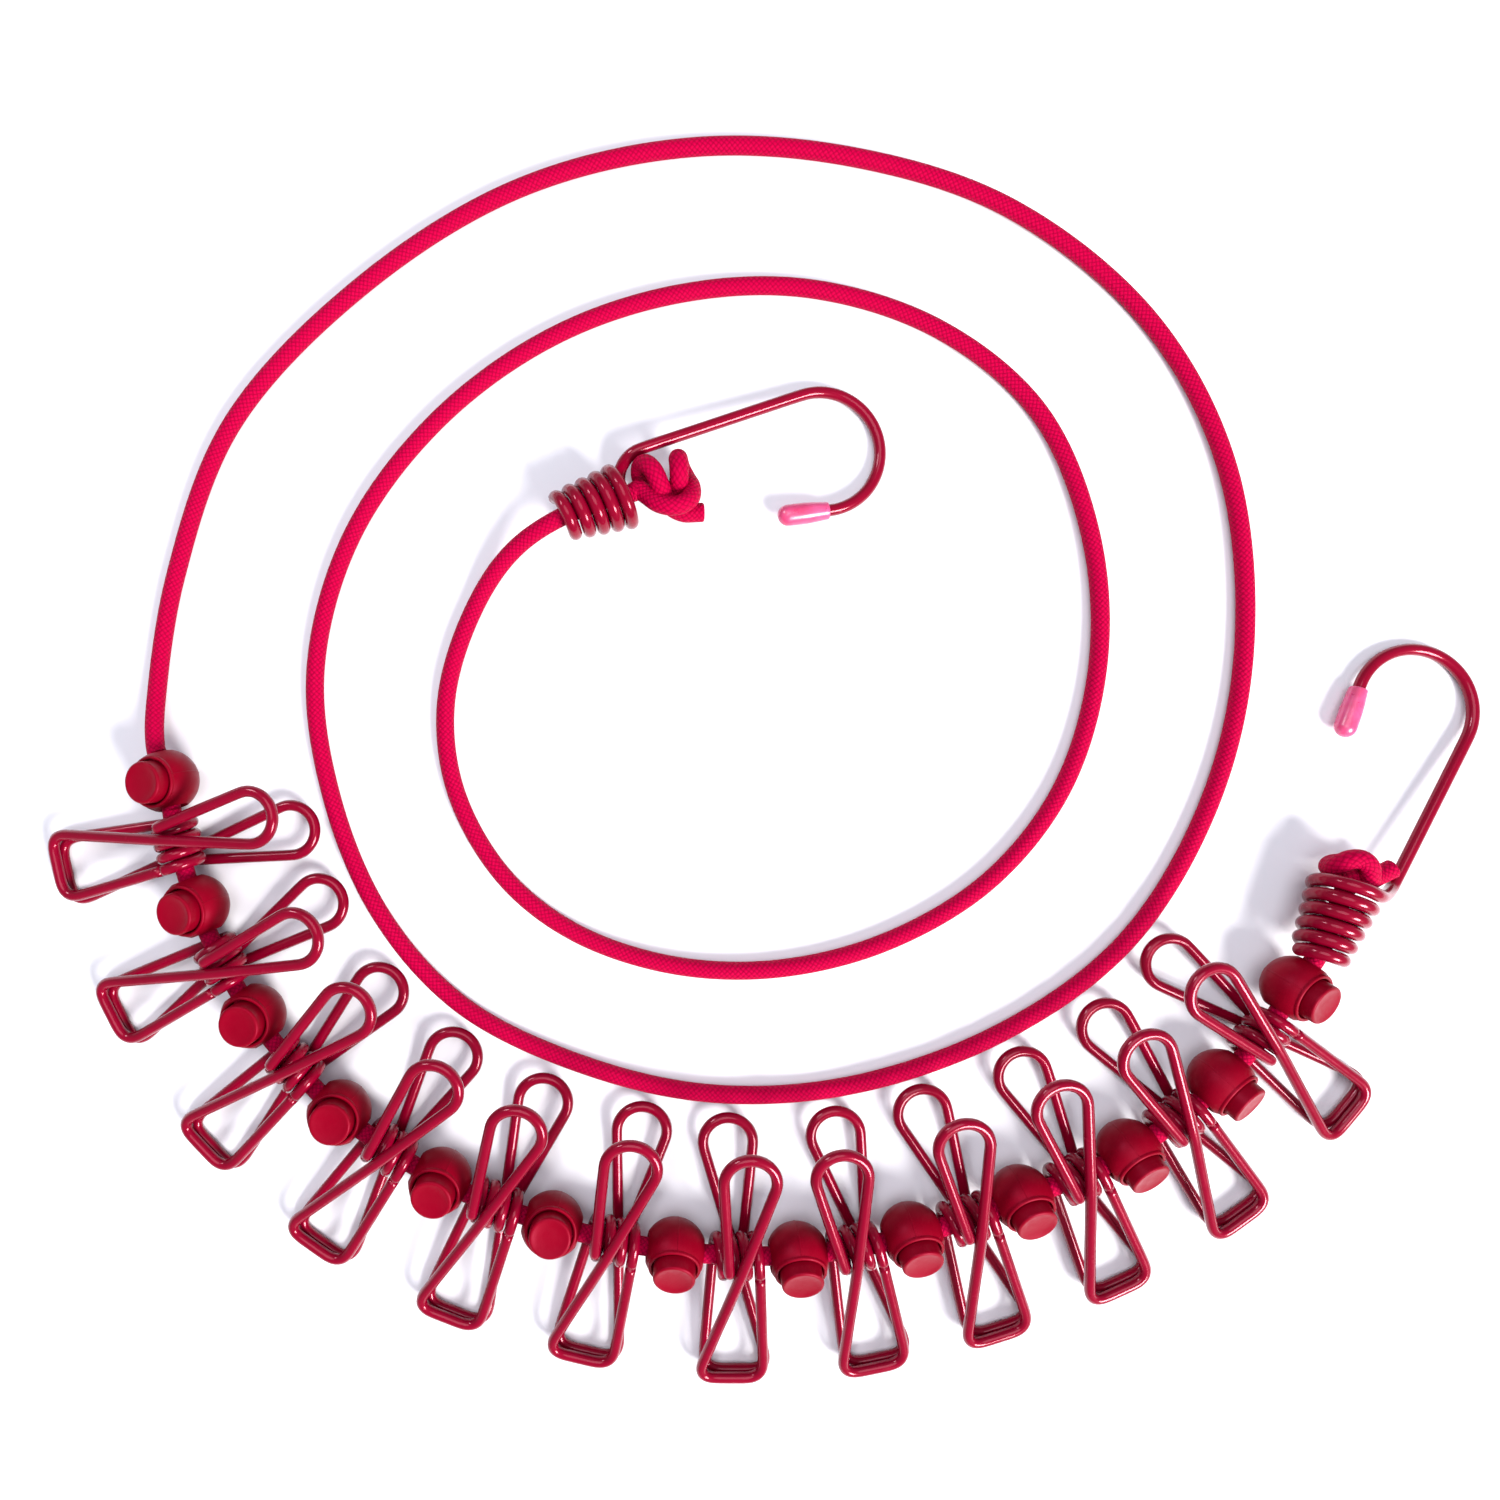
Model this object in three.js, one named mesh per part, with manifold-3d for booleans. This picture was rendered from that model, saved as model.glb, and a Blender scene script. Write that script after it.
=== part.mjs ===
// Elastic travel clothesline, laid out as a flat spiral: one braided cord with a wire hook knotted
// on each end, and a chain of spring clips and ball-shaped cord stops threaded on its last stretch.
// Millimetres, +Z up. The floor is z = 0, and the origin is the middle of the layout on the floor.

import * as THREE from 'three';
import { mergeVertices } from 'three/addons/utils/BufferGeometryUtils.js';
import Module from 'manifold-3d';

const wasm = await Module();
wasm.setup();

// ---------------------------------------------------------------- driving dimensions

const CORD_RADIUS = 2.1;
const FLOOR_Z = 2.15; // height of the cord's centre where it lies on the floor
const CORD_SIDES = 8;
const FLOOR_STEPS = 48; // steps of the tube along the stretch that lies on the floor

// Spring clip, bent from one coated wire.
const CLIP_WIRE = 1.28; // radius
const COIL_RADIUS = 4.05; // mean radius of the coil that the cord passes through
const COIL_HALF = 4.9; // from the clip's middle to the centre of its last turn
const COIL_TURNS = 3.5;
const COIL_STEPS_PER_TURN = 8;
const COIL_CUT = 32; // degrees of coil left open beside the upper leg, so that the leg can swing in
const CROSS_Z = 6.85; // height at which a frame's two wires cross over the coil
const FREE_END_GAP = 2.9; // from the wire's free end to the centre of the leg that it stops beside
const LOOP_Y = 23.1; // centre of the handle loop
const LOOP_Z = 8.8;
const LOOP_RADIUS = 5.8;
const LOOP_STEPS = 7;
const JAW_Y = 30.1; // distance from the coil to the jaw bar
const JAW_HALF = 7.8;
const JAW_SHIFT = 0.8; // how far each frame's jaw stands to the left of the clip's middle
const JAW_Z = 1.4; // half the distance between the two jaw bars' centres
const JAW_CORNER = 4.6; // how far from the corner its bend begins
const CLIP_TILT = 10; // degrees: the jaws rest on the floor and the handles stand up
const CLIP_BULGE = 0.7; // the cord's curve between two stops carries the clip this far out

// Cord stop: a ball with a push button that pinches the cord.
const BALL_RADIUS = 7.25;
const BALL_SEGMENTS = 10;
const BORE_RADIUS = 5.1;
const BORE_FLOOR = -3.6;
const POCKET_RADIUS = 3.4; // the spring's pocket below the bore
const POCKET_FLOOR = -5.8;
const CORD_HOLE_RADIUS = 3.2;
const BUTTON_RADIUS = 4.75;
const BUTTON_TOP = 7.8;
const BUTTON_EDGE = 0.5; // rounding of the button's rim
const SHOULDER = -1.9; // underside of the button's wide part
const NOSE_RADIUS = 3.1;
const NOSE_END = -3.7;
const SLOT_RADIUS = 2.75; // half the width of the button's slot for the cord
const BUTTON_TRAVEL = 1.5;

// End hook, bent from one coated wire.
const HOOK_WIRE = 1.4; // radius
const HOOK_PITCH = 3.27;
const HOOK_TURN_CUT = 50; // degrees of the last turn that the way to the shank takes up
const HOOK_STEPS_PER_TURN = 8;
const BEND_RADIUS = 13.9;
const BEND_STEPS = 12;
const SHANK_START = 6; // how far past the coil the wire becomes straight
const TIP_LENGTH = 12;
const TIP_RADIUS = 2.45;
const TIP_BORE = 1.75;
const TIP_DEPTH = 9.2; // depth of the tip cap's blind hole
const WIRE_IN_TIP = 8.8;

const CLIP_WIRE_SIDES = 5;
const HOOK_WIRE_SIDES = 6;

// ---------------------------------------------------------------- layout

// The cord's route, from the inner knot to the outer one. It leaves the inner hook, makes nearly
// two turns on the floor, runs through the stops and clips, and ends in the outer hook.
const LEAD_IN = [
  [-31.6, 89.8, 8.05],
  [-47.5, 84.0, 9.6],
  [-59.0, 77.0, 5.6],
];
const FLOOR_ROUTE = [
  [-68, 65], [-75, 43], [-73, 22], [-62, 2], [-46, -11], [-23, -19], [2, -20], [28, -13.5],
  [52, 1], [69, 23], [77, 52], [75, 82], [63, 110], [40, 129], [10, 138.5], [-20, 137.5],
  [-50, 127.5], [-77, 108], [-97, 81], [-105.5, 50], [-102, 21], [-90.5, -7], [-72, -28],
  [-45.5, -41.5], [-14, -49], [20, -47], [56, -34], [84, -13], [103, 19], [111, 55], [107, 97],
  [89, 131], [57, 157], [21, 169], [-18, 171.5], [-58, 162], [-95, 139], [-125, 107], [-138, 72],
];
const RISE = [
  [-142, 45, 3.2],
  [-141, 32, 6.7],
];
const STOPS = [
  [-138, 24, 8.15],
  [-131, -4.5, 8.15],
  [-118, -29.5, 8.15],
  [-98.5, -51.5, 8.15],
  [-75.5, -67, 8.15],
  [-50, -77, 8.15],
  [-22, -83, 8.15],
  [6, -84, 8.15],
  [32, -79.5, 8.15],
  [57, -71, 8.15],
  [81.5, -60.5, 8.15],
  [102.5, -44.5, 8.15],
  [119, -23, 8.8],
];
const LEAD_OUT = [
  [124.0, -14.0, 10.1],
  [130.1, -0.4, 9.3],
];

// Each button points this many degrees up from the floor, counted from the jaws' side of the chain.
const BUTTON_RISE = [71, 69, 80, 86, 75, 89, 59, 57, 56, 57, 48, 42, 56];
// Each clip has settled a little askew on the cord, in degrees about the vertical.
const CLIP_TURN = [-1.5, -1, 1.5, -1.5, 0, -1.5, 1.5, 1.5, -1.5, 1, -1.5, -1.5];
// Each clip's handle loops lean sideways by this much, opposite ways on its two frames.
const CLIP_SWAY = [-2.4, 2.2, -0.9, 0, -1.9, -1.0, 1.7, -1.2, 1.9, 0.7, 0, -0.6];

const HOOKS = {
  inner: {
    at: [-32.4, 89.5, 8.15], heading: 19.9, pitch: 6.3, roll: 0, turns: 5,
    narrow: 4.5, wide: 6.7, shankY: 8.9, shankZ: 0, bend: [46.1, -5.0], turn: 192,
  },
  outer: {
    at: [130.5, 0.5, 9.2], heading: 65.5, pitch: 4.6, roll: 180, turns: 5.5,
    narrow: 4.6, wide: 6.8, shankY: 11.9, shankZ: 3.0, bend: [45.2, 1.5], turn: 188,
  },
};

const KNOTS = {
  inner: { ahead: 8.6, along: 7.2, across: 6.9 },
  outer: { ahead: 4.2, along: 4.8, across: 6.2 },
};

// ---------------------------------------------------------------- materials

const coating = { color: 0x8c0028, roughness: 0.28, metalness: 0.1 };
const braid = { color: 0xd90f4c, roughness: 0.62, metalness: 0 };
const plastic = { color: 0xb4063a, roughness: 0.42, metalness: 0 };
const vinyl = { color: 0xf283a6, roughness: 0.35, metalness: 0 };

// ---------------------------------------------------------------- helpers

const rad = THREE.MathUtils.degToRad;
const vec = (x, y, z) => new THREE.Vector3(x, y, z);
const along = (from, to) => to.clone().sub(from).normalize();

// A path whose sections stand exactly at the given points, square to the bisector of each corner.
class PointPath extends THREE.Curve {
  constructor(points) {
    super();
    this.points = points;
  }

  getPoint(t) {
    const scaled = t * (this.points.length - 1);
    const index = Math.min(Math.round(scaled), this.points.length - 1);
    return this.points[index].clone();
  }

  getPointAt(t) {
    return this.getPoint(t);
  }

  getTangentAt(t) {
    const last = this.points.length - 1;
    const index = Math.round(t * last);
    const here = this.points[index];
    const tangent = vec(0, 0, 0);
    if (index > 0) tangent.add(along(this.points[index - 1], here));
    if (index < last) tangent.add(along(here, this.points[index + 1]));
    return tangent.normalize();
  }
}

// A closed rod of the given radius along a list of points.
function rod(points, radius, sides) {
  const section = new THREE.Shape();
  for (let i = 0; i < sides; i += 1) {
    const angle = ((i + 0.5) / sides) * 2 * Math.PI;
    const x = radius * Math.cos(angle);
    const y = radius * Math.sin(angle);
    if (i === 0) section.moveTo(x, y);
    else section.lineTo(x, y);
  }
  const steps = points.length - 1;
  return new THREE.ExtrudeGeometry(section, { steps, extrudePath: new PointPath(points) });
}

// A bend between two straight stretches, from "cut" before the corner to "cut" after it.
function corner(before, at, after, cut, steps) {
  const start = at.clone().addScaledVector(along(at, before), cut);
  const end = at.clone().addScaledVector(along(at, after), cut);
  return new THREE.QuadraticBezierCurve3(start, at, end).getPoints(steps);
}

// Where the line from a point touches a circle, on its left (side = 1) or right (side = -1).
function touch(from, centre, radius, side) {
  const span = centre.clone().sub(from);
  const distance = span.length();
  const reach = Math.sqrt(distance ** 2 - radius ** 2);
  const angle = Math.atan2(span.y, span.x) + side * Math.asin(radius / distance);
  const point = vec(from.x + reach * Math.cos(angle), from.y + reach * Math.sin(angle), 0);
  return { point, around: angle + (side * Math.PI) / 2 };
}

function lathe(profile, segments) {
  return new THREE.LatheGeometry(profile.map(([r, y]) => new THREE.Vector2(r, y)), segments);
}

// The same geometry as a solid that can be cut.
function solid(geometry) {
  const bare = geometry.clone();
  bare.deleteAttribute('normal');
  bare.deleteAttribute('uv');
  const merged = mergeVertices(bare, 1e-5);
  const corners = merged.index.array;
  const kept = [];
  for (let i = 0; i < corners.length; i += 3) {
    const [a, b, c] = corners.slice(i, i + 3);
    if (a !== b && b !== c && c !== a) kept.push(a, b, c);
  }
  return new wasm.Manifold(new wasm.Mesh({
    numProp: 3,
    vertProperties: new Float32Array(merged.attributes.position.array),
    triVerts: new Uint32Array(kept),
  }));
}

function surface(manifold) {
  const mesh = manifold.getMesh();
  const geometry = new THREE.BufferGeometry();
  geometry.setAttribute('position', new THREE.BufferAttribute(mesh.vertProperties, 3));
  geometry.setIndex(new THREE.BufferAttribute(mesh.triVerts, 1));
  geometry.computeVertexNormals();
  return geometry;
}

const model = new THREE.Group();

function add(name, geometry, look, place = new THREE.Matrix4()) {
  const mesh = new THREE.Mesh(geometry, new THREE.MeshStandardMaterial(look));
  mesh.name = name;
  mesh.applyMatrix4(place);
  model.add(mesh);
}

const label = (index) => String(index + 1).padStart(2, '0');

// ---------------------------------------------------------------- spring clip

// Height of a frame's wire above the clip's mid-plane: highest at the handle, lowest at the jaw.
function frameZ(y) {
  if (y > 0) return CROSS_Z + ((LOOP_Z - CROSS_Z) * y) / LOOP_Y;
  return CROSS_Z + ((CROSS_Z - JAW_Z) * y) / JAW_Y;
}

// One frame of a clip. X runs along the cord, Y towards the handles, and the coil is at the origin.
// The wire starts beside the crossing, goes round the handle loop, crosses over, goes round the
// jaw and comes straight back to the coil.
function framePoints(sway) {
  const loop = vec(sway, LOOP_Y, 0);
  const jawLeft = vec(-JAW_HALF - JAW_SHIFT, -JAW_Y, JAW_Z);
  const jawRight = vec(JAW_HALF - JAW_SHIFT, -JAW_Y, JAW_Z);
  const right = touch(jawLeft, loop, LOOP_RADIUS, -1);
  const share = right.point.y / (right.point.y - jawLeft.y);
  const crossingX = THREE.MathUtils.lerp(right.point.x, jawLeft.x, share);
  const free = vec(crossingX - FREE_END_GAP, 0.2, 0);
  const left = touch(free, loop, LOOP_RADIUS, 1);
  const flat = [free];
  for (let i = 0; i <= LOOP_STEPS; i += 1) {
    const angle = THREE.MathUtils.lerp(left.around, right.around, i / LOOP_STEPS);
    const x = loop.x + LOOP_RADIUS * Math.cos(angle);
    flat.push(vec(x, loop.y + LOOP_RADIUS * Math.sin(angle), 0));
  }
  flat.push(vec(crossingX, 0, 0));
  const points = flat.map((p) => vec(p.x, p.y, frameZ(p.y)));
  const crossing = points[points.length - 1];
  const coilStart = vec(COIL_HALF, -0.2, COIL_RADIUS);
  points.push(...corner(crossing, jawLeft, jawRight, JAW_CORNER, 3));
  points.push(...corner(jawLeft, jawRight, coilStart, JAW_CORNER, 3));
  points.push(coilStart);
  return points;
}

// The coil goes on from the frame's leg, over the cord and back, towards the other frame's leg.
function coilPoints() {
  const points = [];
  const whole = COIL_TURNS * 360;
  const steps = Math.round((COIL_TURNS - COIL_CUT / 360) * COIL_STEPS_PER_TURN);
  for (let i = 0; i <= steps; i += 1) {
    const angle = (i / steps) * (whole - COIL_CUT);
    const x = COIL_HALF * (1 - (2 * angle) / whole);
    points.push(vec(x, COIL_RADIUS * Math.sin(rad(angle)), COIL_RADIUS * Math.cos(rad(angle))));
  }
  return points;
}

// The clip's frame in the layout: between two stops, X along the cord and Y towards the handles.
function clipPlace(index) {
  const from = vec(...STOPS[index]);
  const to = vec(...STOPS[index + 1]);
  const up = vec(0, 0, 1);
  const x = along(from, to).applyAxisAngle(up, rad(CLIP_TURN[index]));
  const y = up.clone().cross(x).normalize().applyAxisAngle(x, rad(CLIP_TILT));
  const place = new THREE.Matrix4().makeBasis(x, y, x.clone().cross(y));
  return place.setPosition(clipCentre(index));
}

function clipCentre(index) {
  const from = vec(...STOPS[index]);
  const to = vec(...STOPS[index + 1]);
  const outward = along(from, to).cross(vec(0, 0, 1)).normalize();
  return from.add(to).multiplyScalar(0.5).addScaledVector(outward, CLIP_BULGE);
}

// ---------------------------------------------------------------- cord stop

// X is along the cord and Y is the way that the button points.
function stopBody() {
  const mouth = Math.asin(BORE_RADIUS / BALL_RADIUS);
  const profile = [[0, -BALL_RADIUS]];
  const arcs = 5;
  for (let i = 1; i <= arcs; i += 1) {
    const angle = THREE.MathUtils.lerp(Math.PI, mouth, i / arcs);
    profile.push([BALL_RADIUS * Math.sin(angle), BALL_RADIUS * Math.cos(angle)]);
  }
  profile.push([BORE_RADIUS, BORE_FLOOR]);
  profile.push([POCKET_RADIUS, BORE_FLOOR]);
  profile.push([POCKET_RADIUS, POCKET_FLOOR]);
  profile.push([0, POCKET_FLOOR]);
  const ball = solid(lathe(profile, BALL_SEGMENTS));
  const hole = new THREE.CylinderGeometry(CORD_HOLE_RADIUS, CORD_HOLE_RADIUS, 20, 8);
  hole.rotateZ(Math.PI / 2);
  return surface(ball.subtract(solid(hole)));
}

function stopButton() {
  const plunger = solid(lathe([
    [0, NOSE_END],
    [NOSE_RADIUS, NOSE_END],
    [NOSE_RADIUS, SHOULDER],
    [BUTTON_RADIUS, SHOULDER],
    [BUTTON_RADIUS, BUTTON_TOP - BUTTON_EDGE],
    [BUTTON_RADIUS - BUTTON_EDGE, BUTTON_TOP],
    [0, BUTTON_TOP],
  ], BALL_SEGMENTS));
  const outline = new THREE.Shape();
  outline.absarc(0, 0, SLOT_RADIUS, Math.PI, 2 * Math.PI, false);
  outline.absarc(0, BUTTON_TRAVEL, SLOT_RADIUS, 0, Math.PI, false);
  const slot = new THREE.ExtrudeGeometry(outline, { depth: 20, bevelEnabled: false, curveSegments: 4 });
  slot.translate(0, 0, -10);
  slot.rotateY(Math.PI / 2);
  return surface(plunger.subtract(solid(slot)));
}

function stopPlace(index) {
  const chain = [RISE[RISE.length - 1], ...STOPS, LEAD_OUT[0]].map((p) => vec(...p));
  const here = chain[index + 1];
  const x = along(chain[index], here).add(along(here, chain[index + 2])).normalize();
  const side = x.clone().cross(vec(0, 0, 1)).normalize();
  const y = side.applyAxisAngle(x, rad(-BUTTON_RISE[index]));
  return new THREE.Matrix4().makeBasis(x, y, x.clone().cross(y)).setPosition(here);
}

// ---------------------------------------------------------------- end hook

// The coil's axis is X and its wide end is at the origin. The shank runs on beside the knot and
// turns back through the bend. Returns the wire's points and the direction of its free end.
function hookPoints({ turns, narrow, wide, shankY, shankZ, bend, turn }) {
  const points = [];
  const whole = turns * 360;
  const steps = Math.round(((whole - HOOK_TURN_CUT) / 360) * HOOK_STEPS_PER_TURN);
  for (let i = 0; i <= steps; i += 1) {
    const left = THREE.MathUtils.lerp(whole, HOOK_TURN_CUT, i / steps);
    const radius = THREE.MathUtils.lerp(wide, narrow, left / whole);
    const x = (-HOOK_PITCH * left) / 360;
    points.push(vec(x, radius * Math.cos(rad(left)), -radius * Math.sin(rad(left))));
  }
  const coilEnd = points[points.length - 1];
  const onward = along(points[points.length - 2], coilEnd);
  const shankStart = vec(SHANK_START, shankY, shankZ);
  const centre = vec(bend[0], bend[1], 0);
  const shankEnd = touch(shankStart, centre, BEND_RADIUS, 1);
  const back = along(shankEnd.point.clone().setZ(shankZ), shankStart);
  const leaving = new THREE.CubicBezierCurve3(
    coilEnd,
    coilEnd.clone().addScaledVector(onward, 3),
    shankStart.clone().addScaledVector(back, 3.5),
    shankStart,
  );
  points.push(...leaving.getPoints(5).slice(1));
  for (let i = 0; i <= BEND_STEPS; i += 1) {
    const angle = shankEnd.around - (rad(turn) * i) / BEND_STEPS;
    const x = centre.x + BEND_RADIUS * Math.cos(angle);
    points.push(vec(x, centre.y + BEND_RADIUS * Math.sin(angle), shankZ));
  }
  const angle = shankEnd.around - rad(turn);
  const heading = vec(Math.sin(angle), -Math.cos(angle), 0);
  const mouth = points[points.length - 1].clone().addScaledVector(heading, 0.6);
  points.push(mouth.clone().addScaledVector(heading, WIRE_IN_TIP));
  return { points, mouth, heading };
}

function hookPlace({ at, heading, pitch, roll }) {
  const turned = new THREE.Euler(rad(roll), rad(pitch), rad(heading), 'ZYX');
  return new THREE.Matrix4().makeRotationFromEuler(turned).setPosition(...at);
}

// A soft cap with a blind hole for the wire and a rounded end. Its mouth is at the origin, and Y
// points out of its closed end.
function tipCap() {
  const profile = [[0, TIP_DEPTH], [TIP_BORE, TIP_DEPTH], [TIP_BORE, 0], [TIP_RADIUS - 0.3, 0]];
  profile.push([TIP_RADIUS, 1.5]);
  const dome = TIP_LENGTH - TIP_RADIUS;
  for (let i = 0; i <= 4; i += 1) {
    const angle = (i / 4) * (Math.PI / 2);
    profile.push([TIP_RADIUS * Math.cos(angle), dome + TIP_RADIUS * Math.sin(angle)]);
  }
  return lathe(profile, 10);
}

// ---------------------------------------------------------------- assembly

function addHook(name) {
  const spec = HOOKS[name];
  const place = hookPlace(spec);
  const { points, mouth, heading } = hookPoints(spec);
  add(`${name}_hook`, rod(points, HOOK_WIRE, HOOK_WIRE_SIDES), coating, place);
  const turned = new THREE.Quaternion().setFromUnitVectors(vec(0, 1, 0), heading);
  const inHook = new THREE.Matrix4().makeRotationFromQuaternion(turned).setPosition(mouth);
  add(`${name}_hook_tip`, tipCap(), vinyl, place.clone().multiply(inHook));
  const { ahead, along: length, across } = KNOTS[name];
  const knot = new THREE.SphereGeometry(1, 12, 8);
  knot.scale(length, across, across).translate(ahead, 0, 0);
  add(`${name}_knot`, knot, braid, place);
}

function cordPoints() {
  const floor = FLOOR_ROUTE.map(([x, y]) => vec(x, y, FLOOR_Z));
  const points = LEAD_IN.map((p) => vec(...p));
  points.push(...new THREE.CatmullRomCurve3(floor).getSpacedPoints(FLOOR_STEPS));
  points.push(...RISE.map((p) => vec(...p)));
  STOPS.forEach((stop, index) => {
    points.push(vec(...stop));
    if (index < STOPS.length - 1) points.push(clipCentre(index));
  });
  points.push(...LEAD_OUT.map((p) => vec(...p)));
  return points;
}

add('elastic_cord', rod(cordPoints(), CORD_RADIUS, CORD_SIDES), braid);
addHook('inner');
addHook('outer');

const ball = stopBody();
const button = stopButton();
STOPS.forEach((_, index) => {
  const place = stopPlace(index);
  add(`stop_${label(index)}_body`, ball, plastic, place);
  add(`stop_${label(index)}_button`, button, plastic, place);
});

const flipped = new THREE.Matrix4().makeRotationY(Math.PI);
CLIP_SWAY.forEach((sway, index) => {
  const frame = framePoints(sway);
  const place = clipPlace(index);
  const lowerPlace = place.clone().multiply(flipped);
  const upper = rod(frame, CLIP_WIRE, CLIP_WIRE_SIDES);
  const lower = rod([...frame.slice(0, -1), ...coilPoints()], CLIP_WIRE, CLIP_WIRE_SIDES);
  add(`clip_${label(index)}_upper_frame`, upper, coating, place);
  add(`clip_${label(index)}_lower_frame`, lower, coating, lowerPlace);
});

export default model;
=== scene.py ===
"""The elastic clothesline's looks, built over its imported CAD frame.

Shapes are worked out in millimetres in the CAD's own frame, and become metres when a mesh is
made. The layout lists and the wire paths repeat part.mjs, with finer steps. The knots are
drawn only here.
"""

import math

import bmesh
import bpy
import numpy as np
from mathutils import Matrix


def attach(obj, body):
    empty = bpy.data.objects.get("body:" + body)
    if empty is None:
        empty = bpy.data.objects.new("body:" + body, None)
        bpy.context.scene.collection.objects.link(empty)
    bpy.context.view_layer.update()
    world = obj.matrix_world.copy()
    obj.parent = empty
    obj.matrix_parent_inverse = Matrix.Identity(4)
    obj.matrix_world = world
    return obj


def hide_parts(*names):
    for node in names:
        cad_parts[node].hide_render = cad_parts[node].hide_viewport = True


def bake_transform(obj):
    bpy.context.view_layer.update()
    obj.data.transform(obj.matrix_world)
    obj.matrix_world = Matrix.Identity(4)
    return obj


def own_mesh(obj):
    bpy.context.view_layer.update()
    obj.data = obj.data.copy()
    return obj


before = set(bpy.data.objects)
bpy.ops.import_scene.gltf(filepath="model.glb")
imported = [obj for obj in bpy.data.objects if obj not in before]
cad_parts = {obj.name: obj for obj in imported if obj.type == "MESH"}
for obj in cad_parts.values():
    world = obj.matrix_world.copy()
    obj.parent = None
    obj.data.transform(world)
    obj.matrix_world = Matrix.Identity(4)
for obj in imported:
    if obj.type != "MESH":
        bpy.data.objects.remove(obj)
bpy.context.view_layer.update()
MM = 0.001

# ------------------------------------------------------------------ dimensions, as in part.mjs

CORD_RADIUS = 2.1
FLOOR_Z = 2.15  # height of the cord's middle where it lies on the floor

# A clip: X runs along its coil, Y from the jaws to the loops, Z across its mid-plane.
CLIP_WIRE = 1.28  # the wire's radius
COIL_RADIUS = 4.05
COIL_HALF = 4.9
COIL_TURNS = 3.5
CROSS_Z = 6.85  # height of a frame's wire where it crosses over the coil
FREE_END_GAP = 2.9
LOOP_Y = 23.1
LOOP_Z = 8.8
LOOP_RADIUS = 5.8
JAW_Y = 30.1
JAW_HALF = 7.8
JAW_SHIFT = 0.8
JAW_Z = 1.4
JAW_CORNER = 4.6
CLIP_TILT = 10  # degrees about the coil
CLIP_BULGE = 0.7  # how far a clip's middle stands out from the line between its two stops

# A stop: X runs along the cord, Y out along the button.
BALL_RADIUS = 7.25
BORE_RADIUS = 5.1
BORE_FLOOR = -3.6
POCKET_RADIUS = 3.4
POCKET_FLOOR = -5.8
CORD_HOLE_RADIUS = 3.2
BUTTON_RADIUS = 4.75
BUTTON_TOP = 7.8
SHOULDER = -1.9
NOSE_RADIUS = 3.1
NOSE_END = -3.7
SLOT_RADIUS = 2.75
BUTTON_TRAVEL = 1.5

# A hook: X runs along its coil, towards the bend.
HOOK_WIRE = 1.4  # the wire's radius
HOOK_PITCH = 3.27
HOOK_TURN_CUT = 50  # degrees of the coil's last turn that the way to the shank takes the place of
BEND_RADIUS = 13.9
SHANK_START = 6
TIP_LENGTH = 12
TIP_RADIUS = 2.45
TIP_DEPTH = 9.2
WIRE_IN_TIP = 8.8

# The cord's route, from the inner hook to the outer one.
LEAD_IN = [(-31.6, 89.8, 8.05), (-47.5, 84.0, 9.6), (-59.0, 77.0, 5.6)]
FLOOR_ROUTE = [
    (-68, 65), (-75, 43), (-73, 22), (-62, 2), (-46, -11), (-23, -19), (2, -20), (28, -13.5),
    (52, 1), (69, 23), (77, 52), (75, 82), (63, 110), (40, 129), (10, 138.5), (-20, 137.5),
    (-50, 127.5), (-77, 108), (-97, 81), (-105.5, 50), (-102, 21), (-90.5, -7), (-72, -28),
    (-45.5, -41.5), (-14, -49), (20, -47), (56, -34), (84, -13), (103, 19), (111, 55), (107, 97),
    (89, 131), (57, 157), (21, 169), (-18, 171.5), (-58, 162), (-95, 139), (-125, 107), (-138, 72),
]
RISE = [(-142, 45, 3.2), (-141, 32, 6.7)]
STOPS = np.array([
    (-138, 24, 8.15), (-131, -4.5, 8.15), (-118, -29.5, 8.15), (-98.5, -51.5, 8.15),
    (-75.5, -67, 8.15), (-50, -77, 8.15), (-22, -83, 8.15), (6, -84, 8.15), (32, -79.5, 8.15),
    (57, -71, 8.15),
    (81.5, -60.5, 8.15), (102.5, -44.5, 8.15), (119, -23, 8.8),
])
LEAD_OUT = [(124.0, -14.0, 10.1), (130.1, -0.4, 9.3)]

# One value for each stop or clip, in degrees, except the sway of the loops, in millimetres.
BUTTON_RISE = [71, 69, 80, 86, 75, 89, 59, 57, 56, 57, 48, 42, 56]
CLIP_TURN = [-1.5, -1, 1.5, -1.5, 0, -1.5, 1.5, 1.5, -1.5, 1, -1.5, -1.5]
CLIP_SWAY = [-2.4, 2.2, -0.9, 0, -1.9, -1.0, 1.7, -1.2, 1.9, 0.7, 0, -0.6]

# Angles in degrees. A coil is narrow at its free end and wide at the shank. The shank starts at
# shank_y and shank_z from the coil's axis, and bend is the middle of the J.
HOOKS = {
    "inner": dict(
        at=(-32.4, 89.5, 8.15), heading=19.9, pitch=6.3, roll=0, turns=5, narrow=4.5, wide=6.7,
        shank_y=8.9, shank_z=0, bend=(46.1, -5.0), turn=192,
    ),
    "outer": dict(
        at=(130.5, 0.5, 9.2), heading=65.5, pitch=4.6, roll=180, turns=5.5, narrow=4.6, wide=6.8,
        shank_y=11.9, shank_z=3.0, bend=(45.2, 1.5), turn=188,
    ),
}

# ------------------------------------------------------------------ camera

CAMERA_AT = (-0.0334, 0.0323, 0.270)
CAMERA_SEES = 0.3525  # width of the floor in the picture
SENSOR = 36.0
NADIR_OFFSET = (0.0294, -0.0013)  # how far the picture's middle is from the point below the camera

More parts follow.
